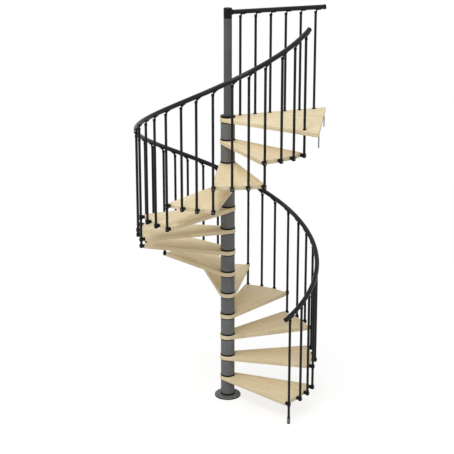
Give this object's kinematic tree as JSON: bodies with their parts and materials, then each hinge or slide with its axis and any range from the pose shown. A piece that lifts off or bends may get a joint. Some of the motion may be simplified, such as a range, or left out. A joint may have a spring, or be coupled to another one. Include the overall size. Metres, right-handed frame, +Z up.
{
  "type": "spiral staircase",
  "caption": "Spiral stair kit: wooden treads and spacer sleeves threaded on a central pole, slim balusters, a helical handrail and a triangular top landing with a straight guard.",
  "frame": {"origin": "centre of the base flange's underside, on the floor", "axes": "+Z up the column; the picture looks along +Y with +X to its right; the flight climbs counter-clockwise seen from above"},
  "size_m": [1.6789, 1.62, 3.54],
  "materials": {
    "pale_wood": "satin lacquer over pale laminated hardwood",
    "sleeve_paint": "satin mid grey powder coat",
    "newel_paint": "satin grey powder coat",
    "flange_paint": "satin grey powder coat",
    "baluster_paint": "satin anthracite powder coat",
    "rail_coating": "satin black",
    "black_plastic": "moulded matt black",
    "bracket_paint": "dark powder coat"
  },
  "bodies": {
    "root": {"base_flange": "flange_paint", "centre_pole": "newel_paint", "newel_cap": "black_plastic", "spacer_sleeves": "sleeve_paint", "lower_collars": "black_plastic", "upper_collars": "black_plastic", "landing_collar": "black_plastic", "landing": "pale_wood", "end_baluster": "baluster_paint", "floor_foot": "sleeve_paint", "edge_clips": "black_plastic", "landing_ring": "black_plastic", "rail_saddles": "black_plastic", "landing_rail": "rail_coating", "landing_balusters": "baluster_paint", "landing_baluster_feet": "black_plastic", "landing_rail_saddles": "black_plastic", "landing_brackets": "bracket_paint", "tread_01": "pale_wood", "tread_02": "pale_wood", "tread_03": "pale_wood", "tread_04": "pale_wood", "tread_05": "pale_wood", "tread_06": "pale_wood", "tread_07": "pale_wood", "tread_08": "pale_wood", "tread_09": "pale_wood", "tread_10": "pale_wood", "tread_11": "pale_wood", "tread_12": "pale_wood", "balusters_01": "baluster_paint", "balusters_02": "baluster_paint", "balusters_03": "baluster_paint", "balusters_04": "baluster_paint", "balusters_05": "baluster_paint", "balusters_06": "baluster_paint", "balusters_07": "baluster_paint", "balusters_08": "baluster_paint", "balusters_09": "baluster_paint", "balusters_10": "baluster_paint", "balusters_11": "baluster_paint", "balusters_12": "baluster_paint", "handrail_01": "rail_coating", "handrail_02": "rail_coating", "handrail_03": "rail_coating", "handrail_04": "rail_coating", "handrail_05": "rail_coating", "handrail_06": "rail_coating"}
  },
  "joints": []
}
